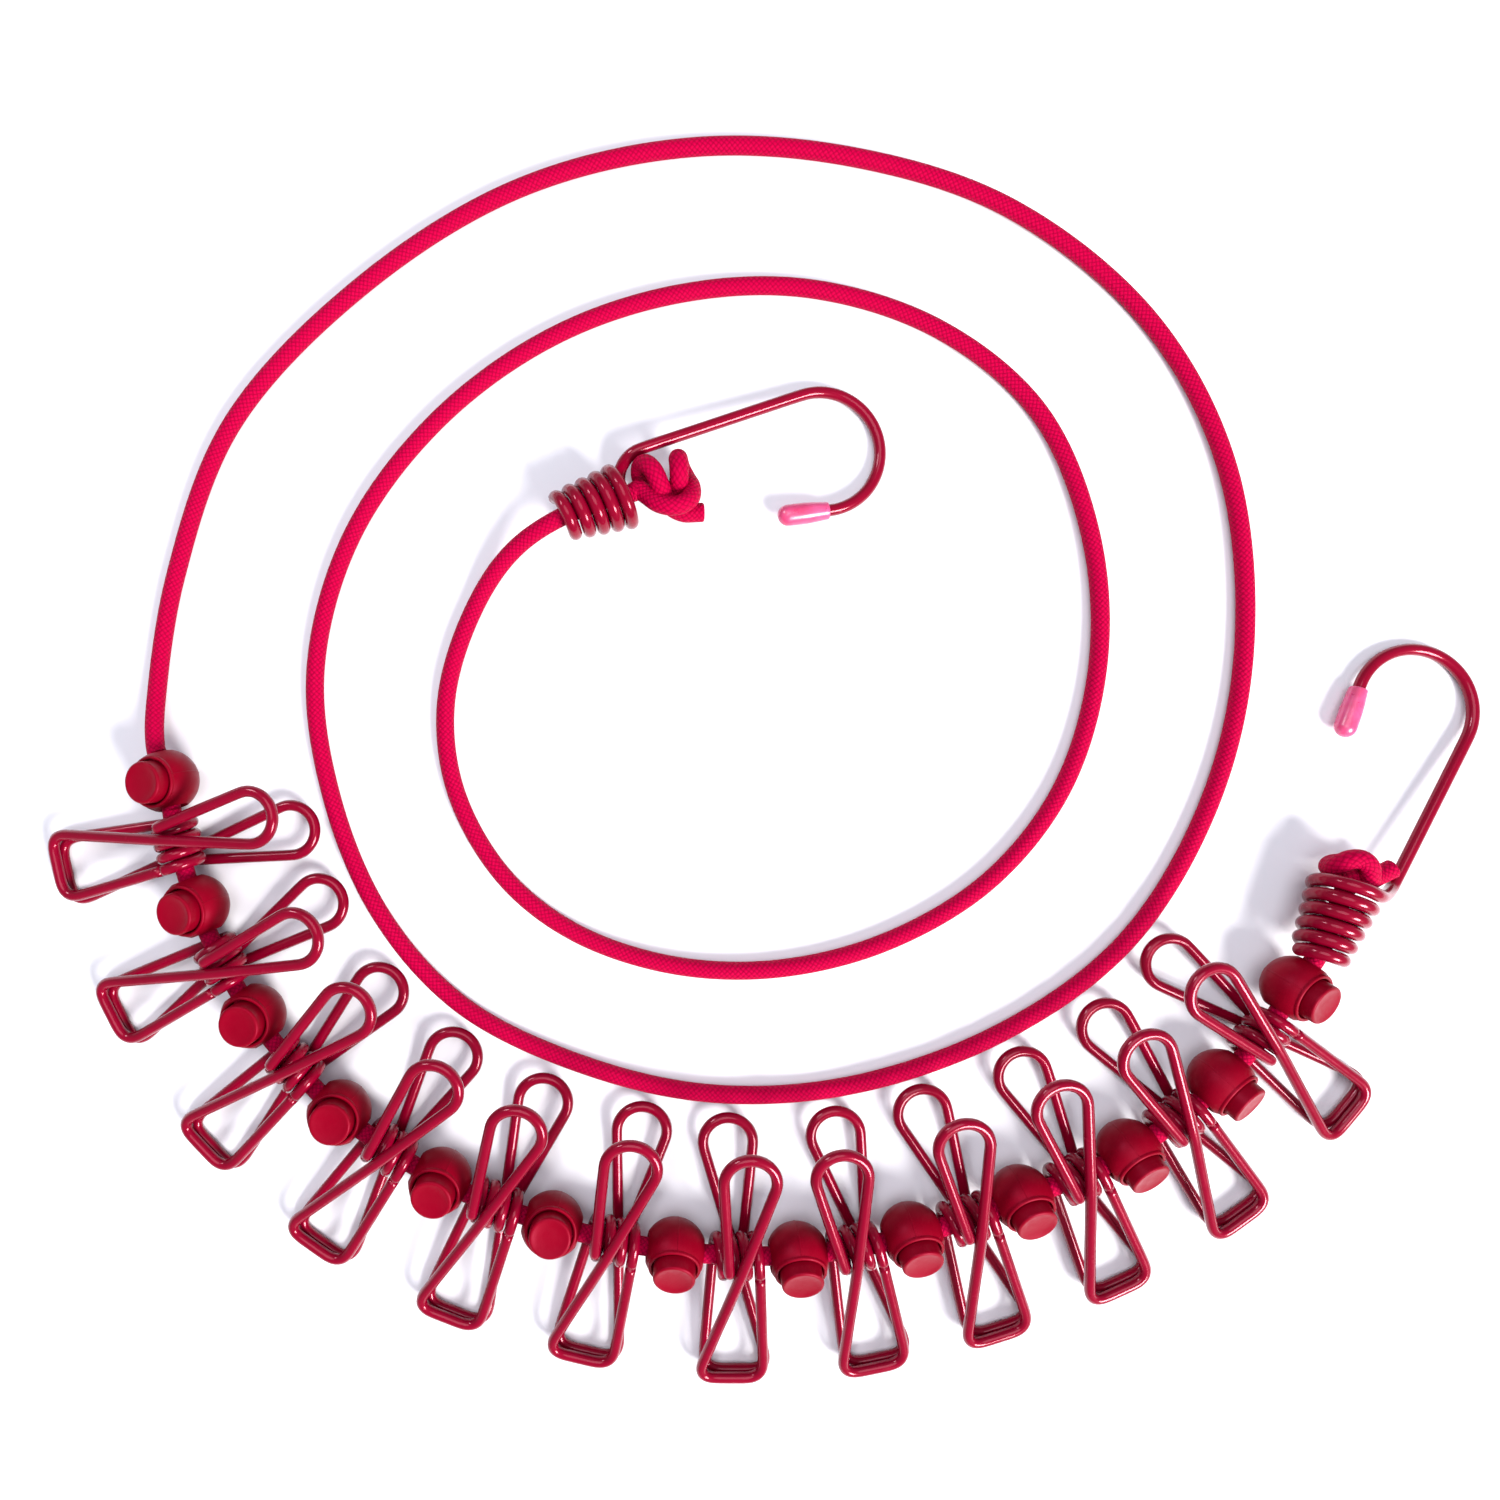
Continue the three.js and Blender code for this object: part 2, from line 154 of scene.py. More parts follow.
camera_data = bpy.data.cameras.new("camera")
camera_data.sensor_width = SENSOR
camera_data.lens = SENSOR * CAMERA_AT[2] / CAMERA_SEES
camera_data.shift_x = NADIR_OFFSET[0] / CAMERA_SEES
camera_data.shift_y = NADIR_OFFSET[1] / CAMERA_SEES
camera_data.clip_start = 0.01
camera = bpy.data.objects.new("camera", camera_data)
camera.location = CAMERA_AT
bpy.context.scene.collection.objects.link(camera)
bpy.context.scene.camera = camera


# ------------------------------------------------------------------ helpers: paths


def unit(v):
    v = np.asarray(v, float)
    return v / np.linalg.norm(v)


def turned(v, axis, degrees):
    """v turned about an axis through the origin."""
    k, c, s = unit(axis), math.cos(math.radians(degrees)), math.sin(math.radians(degrees))
    return v * c + np.cross(k, v) * s + k * np.dot(k, v) * (1 - c)


SPAN_SAMPLES = 40  # worked out between two of a curve's given points


def spline(points, step):
    """Centripetal Catmull-Rom curve through the points, sampled evenly about every step."""
    p = np.asarray(points, float)
    p = np.vstack([2 * p[0] - p[1], p, 2 * p[-1] - p[-2]])
    out = []
    for a, b, c, d in zip(p, p[1:], p[2:], p[3:]):
        t0 = 0.0
        t1 = t0 + math.sqrt(np.linalg.norm(b - a))
        t2 = t1 + math.sqrt(np.linalg.norm(c - b))
        t3 = t2 + math.sqrt(np.linalg.norm(d - c))
        t = np.linspace(t1, t2, SPAN_SAMPLES, endpoint=False)[:, None]
        ab = (t1 - t) / (t1 - t0) * a + (t - t0) / (t1 - t0) * b
        bc = (t2 - t) / (t2 - t1) * b + (t - t1) / (t2 - t1) * c
        cd = (t3 - t) / (t3 - t2) * c + (t - t2) / (t3 - t2) * d
        abc = (t2 - t) / (t2 - t0) * ab + (t - t0) / (t2 - t0) * bc
        bcd = (t3 - t) / (t3 - t1) * bc + (t - t1) / (t3 - t1) * cd
        out.append((t2 - t) / (t2 - t1) * abc + (t - t1) / (t2 - t1) * bcd)
    return even(np.vstack([*out, p[-2]]), step)


def lengths(points):
    """Distance along the points to each of them."""
    return np.r_[0, np.cumsum(np.linalg.norm(np.diff(points, axis=0), axis=1))]


def even(points, step):
    """The same line with points evenly spaced about every step."""
    s = lengths(points)
    t = np.linspace(0, s[-1], max(2, int(round(s[-1] / step)) + 1))
    return np.stack([np.interp(t, s, points[:, k]) for k in range(3)], 1)


def softened(values, times):
    """Values smoothed along the line, ends kept."""
    v = values.copy()
    for _ in range(times):
        v[1:-1] = 0.25 * v[:-2] + 0.5 * v[1:-1] + 0.25 * v[2:]
    return v


def bezier(p0, p1, p2, p3, steps):
    t = np.linspace(0, 1, steps + 1)[:, None]
    return (
        (1 - t) ** 3 * p0 + 3 * (1 - t) ** 2 * t * p1 + 3 * (1 - t) * t**2 * p2 + t**3 * p3
    )


def corner(before, at, after, reach, steps):
    """A bend between two straight stretches, from reach before the corner to reach after it."""
    start, end = at + unit(before - at) * reach, at + unit(after - at) * reach
    t = np.linspace(0, 1, steps + 1)[:, None]
    return (1 - t) ** 2 * start + 2 * (1 - t) * t * at + t**2 * end


def straight(start, end, steps):
    """Points after start, up to and with end."""
    t = np.linspace(0, 1, steps + 1)[1:, None]
    return start + (end - start) * t


def touch(start, centre, radius, side):
    """Where the line from start touches a circle, and the angle of that point round it."""
    span = centre - start
    distance = np.linalg.norm(span)
    reach = math.sqrt(distance**2 - radius**2)
    angle = math.atan2(span[1], span[0]) + side * math.asin(radius / distance)
    point = start + reach * np.array([math.cos(angle), math.sin(angle)])
    return point, angle + side * math.pi / 2


# ------------------------------------------------------------------ helpers: meshes


def place_points(points, place):
    return points @ place[:3, :3].T + place[:3, 3]


def basis(x, y, at):
    place = np.eye(4)
    place[:3, 0], place[:3, 1], place[:3, 2], place[:3, 3] = x, y, np.cross(x, y), at
    return place


def new_piece(name, verts, faces, material, uvs=None, sharp=None, place=None):
    """A mesh object from millimetres. uvs is one pair per face corner, sharp an edge angle."""
    verts = np.asarray(verts, float)
    if place is not None:
        verts = place_points(verts, place)
    mesh = bpy.data.meshes.new(name)
    mesh.from_pydata((verts * MM).tolist(), [], faces)
    if uvs is not None:
        layer = mesh.uv_layers.new(name="along")
        layer.data.foreach_set("uv", np.asarray(uvs, np.float32).ravel())
    mesh.polygons.foreach_set("use_smooth", np.ones(len(mesh.polygons), bool))
    if sharp is not None:
        mark_sharp(mesh, sharp)
    mesh.update()
    mesh.materials.append(material)
    obj = bpy.data.objects.new(name, mesh)
    bpy.context.scene.collection.objects.link(obj)
    return obj


def mark_sharp(mesh, degrees):
    bm = bmesh.new()
    bm.from_mesh(mesh)
    for edge in bm.edges:
        if len(edge.link_faces) == 2 and edge.calc_face_angle(0) > math.radians(degrees):
            edge.smooth = False
    bm.to_mesh(mesh)
    bm.free()


def full_turn(sides):
    return np.arange(sides) * 2 * math.pi / sides


def dome(radius, steps):
    """(radius, distance beyond the end) of the rings that round an end off."""
    angles = np.linspace(0, math.pi / 2, steps + 1)[1:]
    return [(radius * math.cos(a), radius * math.sin(a)) for a in angles]


CUT_EDGE = (0.5, 1.1, 1.57)  # radians round a cut end's edge, from its side to its face
CUT_CROWN = ((0.5, 1.05), (0.0, 1.1))  # shares of the radius, and heights in edge radii


def blunt(radius, edge):
    """The rings of a cut end with a small rounded edge and a slight crown."""
    rows = [(radius - edge + edge * math.cos(a), edge * math.sin(a)) for a in CUT_EDGE]
    return rows + [(radius * share, edge * height) for share, height in CUT_CROWN]


LEAST_RING = 1e-4  # keeps an end ring's corners apart


def tube(points, radius, sides, start=(), end=()):
    """Rings along a line, with the given end rings. Returns verts, faces and uvs, where u goes
    once round from 0 to 1 and v is the distance along in millimetres."""
    points = np.asarray(points, float)
    radii = np.broadcast_to(np.asarray(radius, float), (len(points),))
    tangents = np.gradient(points, axis=0)
    tangents /= np.linalg.norm(tangents, axis=1)[:, None]
    side = np.cross(tangents[0], (0, 0, 1.0))
    if np.linalg.norm(side) < 0.1:  # the line sets off along Z
        side = np.cross(tangents[0], (1.0, 0, 0))
    normals = []
    for t in tangents:
        side = unit(side - t * np.dot(side, t))
        normals.append(side)
    normals = np.array(normals)
    along = lengths(points)
    rows = [(points[0] - tangents[0] * d, normals[0], tangents[0], r, -d) for r, d in start[::-1]]
    rows += list(zip(points, normals, tangents, radii, along))
    rows += [
        (points[-1] + tangents[-1] * d, normals[-1], tangents[-1], r, along[-1] + d)
        for r, d in end
    ]
    angles = full_turn(sides)
    verts, ring_v = [], []
    for centre, n, t, r, s in rows:
        b = np.cross(t, n)
        outward = np.cos(angles)[:, None] * n + np.sin(angles)[:, None] * b
        verts.append(centre + max(r, LEAST_RING) * outward)
        ring_v.append(s)
    faces, uvs = [], []
    for i in range(len(rows) - 1):
        for j in range(sides):
            k = (j + 1) % sides
            faces.append((i * sides + j, i * sides + k, (i + 1) * sides + k, (i + 1) * sides + j))
            u0, u1 = j / sides, (j + 1) / sides
            uvs += [(u0, ring_v[i]), (u1, ring_v[i]), (u1, ring_v[i + 1]), (u0, ring_v[i + 1])]
    last = (len(rows) - 1) * sides
    caps = (range(sides - 1, -1, -1), ring_v[0]), (range(last, last + sides), ring_v[-1])
    for cap, s in caps:
        faces.append(tuple(cap))
        uvs += [(j / sides, s) for j in range(sides)]
    return np.vstack(verts), faces, uvs


def round_row(r, y, radius, start, end, steps):
    """Profile rows round an edge, from start to end degrees about (r, y)."""
    angles = np.radians(np.linspace(start, end, steps + 1))
    return [(r + radius * math.cos(a), y + radius * math.sin(a)) for a in angles]


def lathe(profile, angles):
    """A solid turned about Y from (radius, y) rows, with both ends on the axis."""
    verts = [(0, profile[0][1], 0)]
    for r, y in profile[1:-1]:
        verts += [(r * math.cos(a), y, r * math.sin(a)) for a in angles]
    verts.append((0, profile[-1][1], 0))
    n, rings = len(angles), len(profile) - 2
    faces = []
    for j in range(n):
        k = (j + 1) % n
        faces.append((0, 1 + j, 1 + k))
        for i in range(rings - 1):
            a, b = 1 + i * n, 1 + (i + 1) * n
            faces.append((a + j, b + j, b + k, a + k))
        a = 1 + (rings - 1) * n
        faces.append((a + j, len(verts) - 1, a + k))
    return np.array(verts, float), faces


def cut(name, body, cutter):
    """The body's verts and faces with the cutter's taken away."""
    made = []
    for label, (verts, faces) in (("body", body), ("cutter", cutter)):
        mesh = bpy.data.meshes.new(f"{name}_{label}")
        mesh.from_pydata(np.asarray(verts).tolist(), [], faces)
        bm = bmesh.new()
        bm.from_mesh(mesh)
        bmesh.ops.recalc_face_normals(bm, faces=bm.faces)
        bm.to_mesh(mesh)
        bm.free()
        obj = bpy.data.objects.new(f"{name}_{label}", mesh)
        bpy.context.scene.collection.objects.link(obj)
        made.append(obj)
    modifier = made[0].modifiers.new("cut", "BOOLEAN")
    modifier.operation = "DIFFERENCE"
    modifier.solver = "EXACT"
    modifier.object = made[1]
    depsgraph = bpy.context.evaluated_depsgraph_get()
    depsgraph.update()
    evaluated = made[0].evaluated_get(depsgraph)
    result = evaluated.to_mesh()
    verts = np.array([v.co[:] for v in result.vertices], float)
    faces = [tuple(p.vertices) for p in result.polygons]
    evaluated.to_mesh_clear()
    for obj in made:
        mesh = obj.data
        bpy.data.objects.remove(obj)
        bpy.data.meshes.remove(mesh)
    return verts, faces


# ------------------------------------------------------------------ helpers: materials


def linear(r, g, b):
    """An sRGB colour, 0 to 255, as Blender's linear one."""
    return tuple(
        c / 12.92 if c <= 0.04045 else ((c + 0.055) / 1.055) ** 2.4
        for c in (r / 255, g / 255, b / 255)
    ) + (1.0,)


NOISE_LOW, NOISE_HIGH = 0.3, 0.7  # the noise node's values keep mostly between these


class Look:
    """A material with one Principled shader, and short calls for the nodes that feed it."""

    def __init__(self, name, **settings):
        self.material = bpy.data.materials.new(name)
        self.material.use_nodes = True
        self.tree = self.material.node_tree
        self.tree.nodes.clear()
        self.shader = self.tree.nodes.new("ShaderNodeBsdfPrincipled")
        output = self.tree.nodes.new("ShaderNodeOutputMaterial")
        self.tree.links.new(self.shader.outputs["BSDF"], output.inputs["Surface"])
        for key, value in settings.items():
            self.shader.inputs[key.replace("_", " ")].default_value = value

    def node(self, kind, inputs=None, **attributes):
        node = self.tree.nodes.new(kind)
        for key, value in attributes.items():
            setattr(node, key, value)
        for key, value in (inputs or {}).items():
            if isinstance(value, bpy.types.NodeSocket):
                self.tree.links.new(value, node.inputs[key])
            else:
                node.inputs[key].default_value = value
        return node

    def math(self, operation, a, b=0.0, add=None):
        inputs = {0: a, 1: b} if add is None else {0: a, 1: b, 2: add}
        return self.node("ShaderNodeMath", inputs, operation=operation).outputs[0]

    def ridges(self, across, count=1):
        """Rounded ridges of height 1, count of them to each unit across."""
        angle = self.math("MULTIPLY", across, math.pi * count)
        return self.math("ABSOLUTE", self.math("SINE", angle))

    def mix(self, factor, low, high):
        """A colour between two; the mix node's colours are its sockets 6 and 7."""
        node = self.node("ShaderNodeMix", {0: factor, 6: low, 7: high}, data_type="RGBA")
        return node.outputs[2]

    def noise(self, scale, detail=3.0):
        where = self.node("ShaderNodeTexCoord").outputs["Object"]
        inputs = {"Vector": where, "Scale": scale, "Detail": detail, "Roughness": 0.55}
        return self.node("ShaderNodeTexNoise", inputs).outputs["Fac"]

    def spread(self, noise, low, high):
        """Noise carried to run from low to high."""
        inputs = {
            "Value": noise, "From Min": NOISE_LOW, "From Max": NOISE_HIGH, "To Min": low,
            "To Max": high,
        }
        return self.node("ShaderNodeMapRange", inputs).outputs[0]

    def feed(self, name, socket):
        self.tree.links.new(socket, self.shader.inputs[name])

    def patchy(self, scale, low, high):
        """A base colour in soft patches between two colours."""
        patches = self.spread(self.noise(scale), 0.0, 1.0)
        self.feed("Base Color", self.mix(patches, low, high))

    def worn(self, scale, low, high):
        """Roughness that varies between two values."""
        self.feed("Roughness", self.spread(self.noise(scale), low, high))

    def bump(self, height, depth, strength):
        """Relief, with its depth in metres."""
        inputs = {"Height": height, "Distance": depth, "Strength": strength}
        self.feed("Normal", self.node("ShaderNodeBump", inputs).outputs["Normal"])


BRAID_STRANDS = 10  # each way round the cord
BRAID_PITCH = 1.25  # millimetres along the cord from one crossing to the next
YARNS = 4  # in each strand
YARN_DEPTH = 0.16  # of the grooves between yarns, as a share of the strand's height
STRAND_DIP = 0.45  # how much lower a strand gets between the strands that it crosses
# The groove colour is painted shade: the braid is coloured darker down in its grooves and dips than
# on its crowns.
BRAID_GROOVE_SHADE, BRAID_TOP, BRAID_PATCH = linear(96, 0, 26), linear(176, 0, 56), linear(160, 0, 48)
WIRE_COLOURS = linear(112, 0, 27), linear(120, 0, 31)
PLASTIC_COLOURS = linear(114, 0, 20), linear(121, 0, 23)
VINYL_COLOURS = linear(192, 52, 98), linear(208, 82, 130)
STEEL_COLOURS = linear(170, 172, 178), linear(208, 209, 212)
FLOOR_COLOURS = (0.74, 0.74, 0.76, 1), (0.77, 0.77, 0.79, 1)


def braid_look():
    """Two families of strands laid across each other, each made of a few yarns, with painted shade
    that darkens the grooves and dips between them.
    """
    look = Look(
        "cord_braid", Specular_IOR_Level=0.08, Specular_Tint=linear(255, 130, 170),
        Sheen_Weight=0.02, Sheen_Roughness=0.4, Sheen_Tint=linear(255, 60, 120),
    )
    uv = look.node("ShaderNodeUVMap", uv_map="along").outputs[0]
    parts = look.node("ShaderNodeSeparateXYZ", {0: uv})
    around = look.math("MULTIPLY", parts.outputs[0], BRAID_STRANDS)
    along = look.math("DIVIDE", parts.outputs[1], BRAID_PITCH)
    strands, cells = [], []
    for operation in ("ADD", "SUBTRACT"):
        across = look.math(operation, around, along)
        strand = look.ridges(across)
        yarns = look.ridges(across, YARNS)
        grooved = look.math("MULTIPLY_ADD", yarns, YARN_DEPTH, add=1 - YARN_DEPTH)
        strands.append((strand, grooved))
        cells.append(look.math("FLOOR", across))
    odd = look.math("FLOORED_MODULO", look.math("ADD", *cells), 2.0)
    tops = []
    for (strand, grooved), (other, _) in (strands, strands[::-1]):
        crown = look.math("MULTIPLY_ADD", other, STRAND_DIP, add=1 - STRAND_DIP)
        tops.append(look.math("MULTIPLY", look.math("MULTIPLY", strand, grooved), crown))
    height = look.node("ShaderNodeMix", {0: odd, 2: tops[0], 3: tops[1]}).outputs[0]
    # Painted shade: the colour runs from dark in the grooves and dips to light on the crowns.
    shade = look.mix(look.math("POWER", height, 0.5), BRAID_GROOVE_SHADE, BRAID_TOP)
    patches = look.spread(look.noise(90.0), 0.0, 0.3)
    look.feed("Base Color", look.mix(patches, shade, BRAID_PATCH))
    look.worn(700.0, low=0.54, high=0.68)
    look.bump(height, depth=0.00016, strength=0.8)
    return look.material


def coating_look():
    """Glossy plastic-dipped wire."""
    look = Look(
        "dipped_wire", Coat_Weight=0.3, Coat_Roughness=0.07, IOR=1.5, Specular_IOR_Level=0.3,
        Specular_Tint=linear(255, 110, 140),
    )
    look.patchy(160.0, *WIRE_COLOURS)
    look.worn(420.0, low=0.2, high=0.28)
    look.bump(look.noise(900.0, detail=2.0), depth=0.00003, strength=0.2)
    return look.material


def plastic_look():
    """Satin moulded plastic of the cord stops."""
    look = Look("moulded_plastic", Specular_IOR_Level=0.28, Specular_Tint=linear(255, 110, 150))
    look.patchy(120.0, *PLASTIC_COLOURS)
    look.worn(500.0, low=0.36, high=0.5)
    look.bump(look.noise(2600.0, detail=4.0), depth=0.00004, strength=0.6)
    return look.material


def vinyl_look():
    """Soft milky vinyl of the hooks' caps."""
    look = Look(
        "soft_vinyl", Subsurface_Weight=0.35, Subsurface_Scale=0.002,
        Subsurface_Radius=(1.0, 0.35, 0.4), Coat_Weight=0.25, Coat_Roughness=0.2,
        Transmission_Weight=0.1,
    )
    look.patchy(260.0, *VINYL_COLOURS)
    look.worn(600.0, low=0.26, high=0.42)
    look.bump(look.noise(1500.0), depth=0.00004, strength=0.4)
    return look.material


def steel_look():
    """Bright drawn spring wire."""
    look = Look("spring_steel", Metallic=1.0)
    look.patchy(900.0, *STEEL_COLOURS)
    look.worn(2400.0, low=0.24, high=0.4)
    return look.material


def floor_look():
    look = Look("pale_floor", Roughness=0.7, Specular_IOR_Level=0.2)
    look.patchy(3.0, *FLOOR_COLOURS)
    return look.material


BRAID = braid_look()
COATING = coating_look()
PLASTIC = plastic_look()
VINYL = vinyl_look()
STEEL = steel_look()

# ------------------------------------------------------------------ the cord

CORD_STEP = 0.75
CORD_SIDES = 20
CORD_SMOOTHING = 12  # passes over the heights, so that the cord leaves the floor gently


def clip_centre(index):
    start, end = STOPS[index], STOPS[index + 1]
    outward = unit(np.cross(unit(end - start), (0, 0, 1)))
    return (start + end) / 2 + outward * CLIP_BULGE


def cord_route():
    points = [*LEAD_IN, *((x, y, FLOOR_Z) for x, y in FLOOR_ROUTE), *RISE]
    for index, stop in enumerate(STOPS):
        points.append(tuple(stop))
        if index < len(STOPS) - 1:
            points.append(tuple(clip_centre(index)))
    points += LEAD_OUT
    route = spline(points, CORD_STEP)
    route[:, 2] = softened(np.maximum(route[:, 2], FLOOR_Z), CORD_SMOOTHING)
    return route


route = cord_route()
cord_start, cord_end = route[0], route[-1]
verts, faces, uvs = tube(route, CORD_RADIUS, CORD_SIDES)
cord = new_piece("elastic_cord_braided", verts, faces, BRAID, uvs)
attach(cord, "line")
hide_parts("elastic_cord")

# ------------------------------------------------------------------ hooks, caps and knots

HOOK_SIDES = 16
HOOK_COIL_STEPS = 220
HOOK_BEND_STEPS = 60
LEAD_PULL = (3, 3.5)  # handles of the curve that takes the wire from the coil to the shank
SHANK_STEPS = 16  # of the shank, and of that curve
IN_CAP_STEPS = 6
HOOK_SMOOTHING = 3  # passes
BARE_END = 0.6  # wire that shows between the end of the bend and the cap
COIL_SWELL = 0.12  # how much thicker the dipped coating is on the coil


def turn_matrix(axis, degrees):
    c, s = math.cos(math.radians(degrees)), math.sin(math.radians(degrees))
    m = np.eye(3)
    i, j = {"x": (1, 2), "y": (2, 0), "z": (0, 1)}[axis]
    m[i, i] = m[j, j] = c
    m[i, j], m[j, i] = -s, s
    return m


def hook_place(spec):
    place = np.eye(4)
    place[:3, :3] = (
        turn_matrix("z", spec["heading"])
        @ turn_matrix("y", spec["pitch"])
        @ turn_matrix("x", spec["roll"])
    )
    place[:3, 3] = spec["at"]
    return place


def hook_path(spec):
    """The wire from its free end in the coil to inside the cap, and the cap's mouth and heading."""
    whole = spec["turns"] * 360
    left = np.linspace(whole, HOOK_TURN_CUT, HOOK_COIL_STEPS)
    radius = spec["wide"] + (spec["narrow"] - spec["wide"]) * left / whole
    turns = np.radians(left)
    coil = np.stack(
        [-HOOK_PITCH * left / 360, radius * np.cos(turns), -radius * np.sin(turns)], 1
    )
    onward = unit(coil[-1] - coil[-2])
    shank_y, shank_z = spec["shank_y"], spec["shank_z"]
    shank = np.array([SHANK_START, shank_y, shank_z], float)
    centre = np.array(spec["bend"], float)
    point, around = touch(shank[:2], centre, BEND_RADIUS, 1)
    first = np.array([point[0], point[1], shank_z])
    back = unit(first - shank)
    pulled, pulled_back = coil[-1] + onward * LEAD_PULL[0], shank - back * LEAD_PULL[1]
    leaving = bezier(coil[-1], pulled, pulled_back, shank, SHANK_STEPS)[1:]
    bend = around - np.radians(spec["turn"]) * np.linspace(0, 1, HOOK_BEND_STEPS)
    arc_x, arc_y = centre[0] + BEND_RADIUS * np.cos(bend), centre[1] + BEND_RADIUS * np.sin(bend)
    arc = np.stack([arc_x, arc_y, np.full(HOOK_BEND_STEPS, shank_z)], 1)
    heading = np.array([math.sin(bend[-1]), -math.cos(bend[-1]), 0])
    mouth = arc[-1] + heading * BARE_END
    path = [coil, leaving, straight(shank, arc[0], SHANK_STEPS), arc[1:]]
    path.append(straight(arc[-1], mouth + heading * WIRE_IN_TIP, IN_CAP_STEPS))
    return softened(np.vstack(path), HOOK_SMOOTHING), mouth, heading


CAP_SIDES = 28
CAP_BORE_ROWS = (TIP_DEPTH, 4.0, 0.5)
CAP_PLAY = 0.06  # between the wire and the cap's bore
CAP_WALL = 0.3  # from the bore to the middle of the rolled mouth
CAP_LIP = 0.27  # radius of the rolled mouth
CAP_FLARE = [(2.06, 0.9), (2.14, 1.7), (2.3, 3.2), (TIP_RADIUS, 5.6), (TIP_RADIUS, 7.5)]
CAP_FLATTENED = 0.1  # share of the thickness lost at the round end


def cap_mesh():
    """A soft cap, a little flattened, with a rolled mouth and a round end."""
    bore = HOOK_WIRE + CAP_PLAY
    rows = [(0, TIP_DEPTH), *((bore, y) for y in CAP_BORE_ROWS)]
    rows += round_row(bore + CAP_WALL, CAP_LIP, CAP_LIP, -150, 0, 6)
    rows += CAP_FLARE
    rows += round_row(0, TIP_LENGTH - TIP_RADIUS, TIP_RADIUS, 0, 90, 8)[:-1]
    rows.append((0, TIP_LENGTH))
    verts, faces = lathe(rows, full_turn(CAP_SIDES))
    verts[:, 2] *= 1 - CAP_FLATTENED * np.clip(verts[:, 1] / TIP_LENGTH, 0, 1)
    return verts, faces


KNOT_CORD = 2.2  # the knotted cord's radius
KNOT_SIDES = 20
KNOT_STEP = 0.45
KNOT_EDGE = 0.5  # rounding of the tail's cut end
KNOT_JOIN = (0.4, 0.5)  # how far behind and ahead of the cord's end a knot takes over

# Each knot in its hook's frame, from where the cord leaves the coil to the cut end of the tail.
KNOTS = {
    "inner": [
        (2.2, 0.2, 0.1), (3.5, -1.8, 1.0), (4.9, -4.5, 2.6), (7.3, -6.4, 3.7), (10.0, -6.8, 3.7),
        (12.5, -5.8, 2.4), (13.9, -3.3, 0.5), (14.0, -0.6, -1.5), (13.7, 2.0, -1.7),
        (13.4, 3.8, 0.3), (12.7, 3.0, 2.6), (11.8, 0.2, 3.2), (11.0, -2.2, 0.8),
        (10.1, -3.2, -2.2), (8.4, -3.2, -4.2), (6.3, -1.2, -4.9), (4.9, 1.6, -4.5),
        (4.4, 3.8, -2.6), (4.8, 5.1, -0.2), (5.5, 4.7, 2.2), (6.2, 2.6, 3.6), (6.6, -0.4, 3.4),
        (7.1, -3.2, 1.4), (8.3, -6.0, -0.2), (10.6, -8.0, -0.8), (13.4, -8.9, -0.9),
        (14.6, -9.3, -0.8),
    ],
    "outer": [
        (0.9, 0.2, 0.2), (2.9, 0.9, 0.8), (4.9, 1.4, 2.2), (5.3, 0.4, 4.4), (4.2, -1.8, 4.7),
        (2.9, -3.3, 3.3), (2.4, -3.9, 0.8), (3.3, -4.1, -1.4), (4.9, -3.1, -2.8),
        (5.8, -1.0, -3.3), (5.1, 1.3, -3.1), (3.6, 3.0, -1.8), (3.3, 4.6, 0.1),
        (4.9, 6.3, 0.9), (7.8, 8.7, 0.8),
    ],
}


def knot_path(name, place):
    """The knot in the hook's frame, taken up from the end of the cord."""
    end, before = (cord_start, route[3]) if name == "inner" else (cord_end, route[-4])
    turn = place[:3, :3].T
    here = turn @ (end - place[:3, 3])
    ahead = turn @ unit(end - before)
    join = [here - ahead * KNOT_JOIN[0], here + ahead * KNOT_JOIN[1]]
    return spline([*join, *KNOTS[name]], KNOT_STEP)


for name, spec in HOOKS.items():
    place = hook_place(spec)
    path, mouth, heading = hook_path(spec)
    radius = HOOK_WIRE + COIL_SWELL * np.clip(1 - path[:, 0] / SHANK_START, 0, 1)
    verts, faces, uvs = tube(path, radius, HOOK_SIDES, dome(radius[0], 4), dome(HOOK_WIRE, 3))
    wire = new_piece(f"{name}_hook_wire", verts, faces, COATING, uvs, place=place)
    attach(wire, f"{name}_hook")
    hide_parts(f"{name}_hook")

    verts, faces = cap_mesh()
    cap_frame = basis(np.cross(heading, (0, 0, 1)), heading, mouth)
    cap = new_piece(f"{name}_hook_cap", verts, faces, VINYL, sharp=50, place=place @ cap_frame)
    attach(cap, f"{name}_hook")
    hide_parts(f"{name}_hook_tip")

    path = knot_path(name, place)
    verts, faces, uvs = tube(path, KNOT_CORD, KNOT_SIDES, (), blunt(KNOT_CORD, KNOT_EDGE))
    knot = new_piece(f"{name}_knot_tied", verts, faces, BRAID, uvs, place=place)
    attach(knot, "line")
    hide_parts(f"{name}_knot")

# ------------------------------------------------------------------ spring clips

CLIP_SIDES = 12
LOOP_STEPS = 40
CORNER_STEPS = 10  # of a jaw's corner, and of the curve from the leg to the coil
JAW_STEPS = 8
LEG_STEPS = 14  # of each leg but the long crossing one
CROSSING_STEPS = 60
CLIP_SMOOTHING = 2  # passes
CROSS_EASE = 2.0  # half the length over which a frame's wire bends at the crossing
FREE_END_Y = 0.2
COIL_START_Y = -0.2
LEG_END = 2.5  # how far before the coil the frame's own wire stops and the coil piece takes over
COIL_EASE = 34  # degrees of the coil over which its wire comes round from the leg
COIL_STEPS = 100
COIL_PULL = (1.9, 1.3)  # handles of the curve that takes the wire from the leg to the coil


